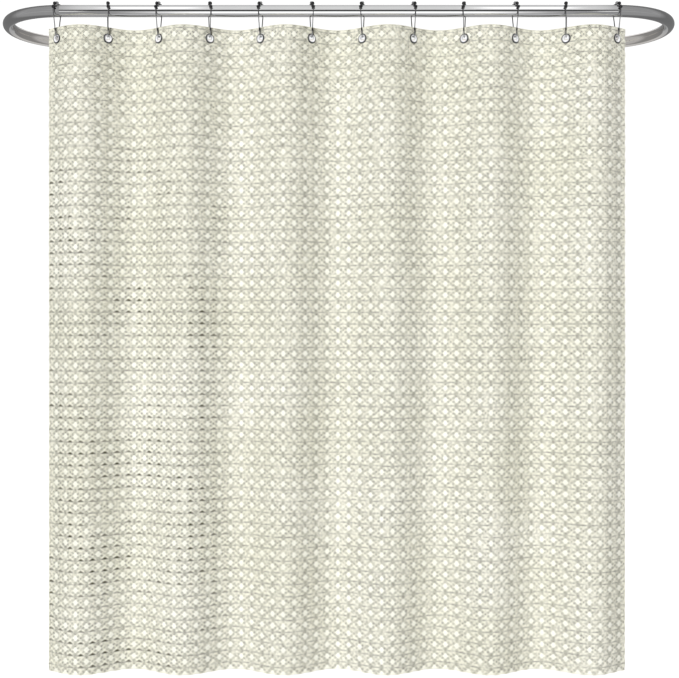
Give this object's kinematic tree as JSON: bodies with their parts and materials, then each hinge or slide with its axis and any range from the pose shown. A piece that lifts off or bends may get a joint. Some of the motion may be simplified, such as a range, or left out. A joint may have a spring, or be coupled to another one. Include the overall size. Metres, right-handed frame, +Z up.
{
  "type": "shower curtain",
  "caption": "Diagonal waffle-weave shower curtain hanging in even folds from wire roller hooks on an oval ring rod.",
  "frame": {"origin": "middle of the rear tube's axis, where a wall or ceiling bracket clamps the rod", "axes": "+X along the rod, +Y away from the room towards the wall or the bather, +Z up"},
  "size_m": [1.9976, 0.4094, 1.9028],
  "materials": {
    "rod_steel": "polished",
    "sleeve_steel": "satin",
    "screw_steel": "satin",
    "cloth_weave": "matte",
    "hem_weave": "matte",
    "hook_wire": "polished",
    "bead_chrome": "polished",
    "eyelet_metal": "polished"
  },
  "bodies": {
    "rod": {"front_tube": "rod_steel", "rear_tube": "rod_steel", "left_bend": "rod_steel", "right_bend": "rod_steel", "joint_sleeves": "sleeve_steel", "grub_screws": "screw_steel"},
    "curtain": {"curtain_cloth": "cloth_weave", "top_hem": "hem_weave", "bottom_hem": "hem_weave", "left_hem": "hem_weave", "right_hem": "hem_weave"},
    "hook_12": {"hook_12_wire": "hook_wire", "hook_12_side_rollers": "bead_chrome", "eyelet_12": "eyelet_metal"},
    "top_roller_12": {"hook_12_top_roller": "bead_chrome"},
    "hook_11": {"hook_11_wire": "hook_wire", "hook_11_side_rollers": "bead_chrome", "eyelet_11": "eyelet_metal"},
    "top_roller_11": {"hook_11_top_roller": "bead_chrome"},
    "hook_10": {"hook_10_wire": "hook_wire", "hook_10_side_rollers": "bead_chrome", "eyelet_10": "eyelet_metal"},
    "top_roller_10": {"hook_10_top_roller": "bead_chrome"},
    "hook_09": {"hook_09_wire": "hook_wire", "hook_09_side_rollers": "bead_chrome", "eyelet_09": "eyelet_metal"},
    "top_roller_09": {"hook_09_top_roller": "bead_chrome"},
    "hook_08": {"hook_08_wire": "hook_wire", "hook_08_side_rollers": "bead_chrome", "eyelet_08": "eyelet_metal"},
    "top_roller_08": {"hook_08_top_roller": "bead_chrome"},
    "hook_07": {"hook_07_wire": "hook_wire", "hook_07_side_rollers": "bead_chrome", "eyelet_07": "eyelet_metal"},
    "top_roller_07": {"hook_07_top_roller": "bead_chrome"},
    "hook_06": {"hook_06_wire": "hook_wire", "hook_06_side_rollers": "bead_chrome", "eyelet_06": "eyelet_metal"},
    "top_roller_06": {"hook_06_top_roller": "bead_chrome"},
    "hook_05": {"hook_05_wire": "hook_wire", "hook_05_side_rollers": "bead_chrome", "eyelet_05": "eyelet_metal"},
    "top_roller_05": {"hook_05_top_roller": "bead_chrome"},
    "hook_04": {"hook_04_wire": "hook_wire", "hook_04_side_rollers": "bead_chrome", "eyelet_04": "eyelet_metal"},
    "top_roller_04": {"hook_04_top_roller": "bead_chrome"},
    "hook_03": {"hook_03_wire": "hook_wire", "hook_03_side_rollers": "bead_chrome", "eyelet_03": "eyelet_metal"},
    "top_roller_03": {"hook_03_top_roller": "bead_chrome"},
    "hook_02": {"hook_02_wire": "hook_wire", "hook_02_side_rollers": "bead_chrome", "eyelet_02": "eyelet_metal"},
    "top_roller_02": {"hook_02_top_roller": "bead_chrome"},
    "hook_01": {"hook_01_wire": "hook_wire", "hook_01_side_rollers": "bead_chrome", "eyelet_01": "eyelet_metal"},
    "top_roller_01": {"hook_01_top_roller": "bead_chrome"}
  },
  "joints": [
    {"name": "curtain_swing", "type": "hinge", "parent": "rod", "child": "curtain", "pos_m": [0, -0.36, 0], "axis": [1, 0, 0], "range_deg": [-12, 12]},
    {"name": "hook_12_slide", "type": "slide", "parent": "curtain", "child": "hook_12", "axis": [1, 0, 0], "range_m": [-1.0992, 0], "deforming": ["curtain_cloth", "top_hem", "bottom_hem", "left_hem", "right_hem"]},
    {"name": "hook_12_roll", "type": "hinge", "parent": "hook_12", "child": "top_roller_12", "pos_m": [0.79025, -0.36, 0.02281], "axis": [-0.2419, 0.9703, 0], "continuous": true},
    {"name": "hook_11_slide", "type": "slide", "parent": "curtain", "child": "hook_11", "axis": [1, 0, 0], "range_m": [-0.99815, 0]},
    {"name": "hook_11_roll", "type": "hinge", "parent": "hook_11", "child": "top_roller_11", "pos_m": [0.64575, -0.36, 0.02281], "axis": [0.2419, 0.9703, 0], "continuous": true},
    {"name": "hook_10_slide", "type": "slide", "parent": "curtain", "child": "hook_10", "axis": [1, 0, 0], "range_m": [-0.897, 0]},
    {"name": "hook_10_roll", "type": "hinge", "parent": "hook_10", "child": "top_roller_10", "pos_m": [0.50125, -0.36, 0.02281], "axis": [-0.2419, 0.9703, 0], "continuous": true},
    {"name": "hook_09_slide", "type": "slide", "parent": "curtain", "child": "hook_09", "axis": [1, 0, 0], "range_m": [-0.79584, 0]},
    {"name": "hook_09_roll", "type": "hinge", "parent": "hook_09", "child": "top_roller_09", "pos_m": [0.35675, -0.36, 0.02281], "axis": [0.2419, 0.9703, 0], "continuous": true},
    {"name": "hook_08_slide", "type": "slide", "parent": "curtain", "child": "hook_08", "axis": [1, 0, 0], "range_m": [-0.69469, 0]},
    {"name": "hook_08_roll", "type": "hinge", "parent": "hook_08", "child": "top_roller_08", "pos_m": [0.21225, -0.36, 0.02281], "axis": [-0.2419, 0.9703, 0], "continuous": true},
    {"name": "hook_07_slide", "type": "slide", "parent": "curtain", "child": "hook_07", "axis": [1, 0, 0], "range_m": [-0.59354, 0]},
    {"name": "hook_07_roll", "type": "hinge", "parent": "hook_07", "child": "top_roller_07", "pos_m": [0.06775, -0.36, 0.02281], "axis": [0.2419, 0.9703, 0], "continuous": true},
    {"name": "hook_06_slide", "type": "slide", "parent": "curtain", "child": "hook_06", "axis": [1, 0, 0], "range_m": [-0.49239, 0]},
    {"name": "hook_06_roll", "type": "hinge", "parent": "hook_06", "child": "top_roller_06", "pos_m": [-0.07675, -0.36, 0.02281], "axis": [-0.2419, 0.9703, 0], "continuous": true},
    {"name": "hook_05_slide", "type": "slide", "parent": "curtain", "child": "hook_05", "axis": [1, 0, 0], "range_m": [-0.39123, 0]},
    {"name": "hook_05_roll", "type": "hinge", "parent": "hook_05", "child": "top_roller_05", "pos_m": [-0.22125, -0.36, 0.02281], "axis": [0.2419, 0.9703, 0], "continuous": true},
    {"name": "hook_04_slide", "type": "slide", "parent": "curtain", "child": "hook_04", "axis": [1, 0, 0], "range_m": [-0.29008, 0]},
    {"name": "hook_04_roll", "type": "hinge", "parent": "hook_04", "child": "top_roller_04", "pos_m": [-0.36575, -0.36, 0.02281], "axis": [-0.2419, 0.9703, 0], "continuous": true},
    {"name": "hook_03_slide", "type": "slide", "parent": "curtain", "child": "hook_03", "axis": [1, 0, 0], "range_m": [-0.18893, 0]},
    {"name": "hook_03_roll", "type": "hinge", "parent": "hook_03", "child": "top_roller_03", "pos_m": [-0.51025, -0.36, 0.02281], "axis": [0.2419, 0.9703, 0], "continuous": true},
    {"name": "hook_02_slide", "type": "slide", "parent": "curtain", "child": "hook_02", "axis": [1, 0, 0], "range_m": [-0.08778, 0]},
    {"name": "hook_02_roll", "type": "hinge", "parent": "hook_02", "child": "top_roller_02", "pos_m": [-0.65475, -0.36, 0.02281], "axis": [-0.2419, 0.9703, 0], "continuous": true},
    {"name": "hook_01_slide", "type": "slide", "parent": "curtain", "child": "hook_01", "axis": [1, 0, 0], "range_m": [0, 0.01358]},
    {"name": "hook_01_roll", "type": "hinge", "parent": "hook_01", "child": "top_roller_01", "pos_m": [-0.79925, -0.36, 0.02281], "axis": [0.2419, 0.9703, 0], "continuous": true}
  ],
  "couplings": [
    {"joint": "hook_11_slide", "follows": "hook_12_slide", "ratio": 0.90798},
    {"joint": "hook_10_slide", "follows": "hook_12_slide", "ratio": 0.81595},
    {"joint": "hook_09_slide", "follows": "hook_12_slide", "ratio": 0.72393},
    {"joint": "hook_08_slide", "follows": "hook_12_slide", "ratio": 0.63191},
    {"joint": "hook_07_slide", "follows": "hook_12_slide", "ratio": 0.53988},
    {"joint": "hook_06_slide", "follows": "hook_12_slide", "ratio": 0.44786},
    {"joint": "hook_05_slide", "follows": "hook_12_slide", "ratio": 0.35584},
    {"joint": "hook_04_slide", "follows": "hook_12_slide", "ratio": 0.26381},
    {"joint": "hook_03_slide", "follows": "hook_12_slide", "ratio": 0.17179},
    {"joint": "hook_02_slide", "follows": "hook_12_slide", "ratio": 0.079764},
    {"joint": "hook_01_slide", "follows": "hook_12_slide", "ratio": -0.012259}
  ]
}
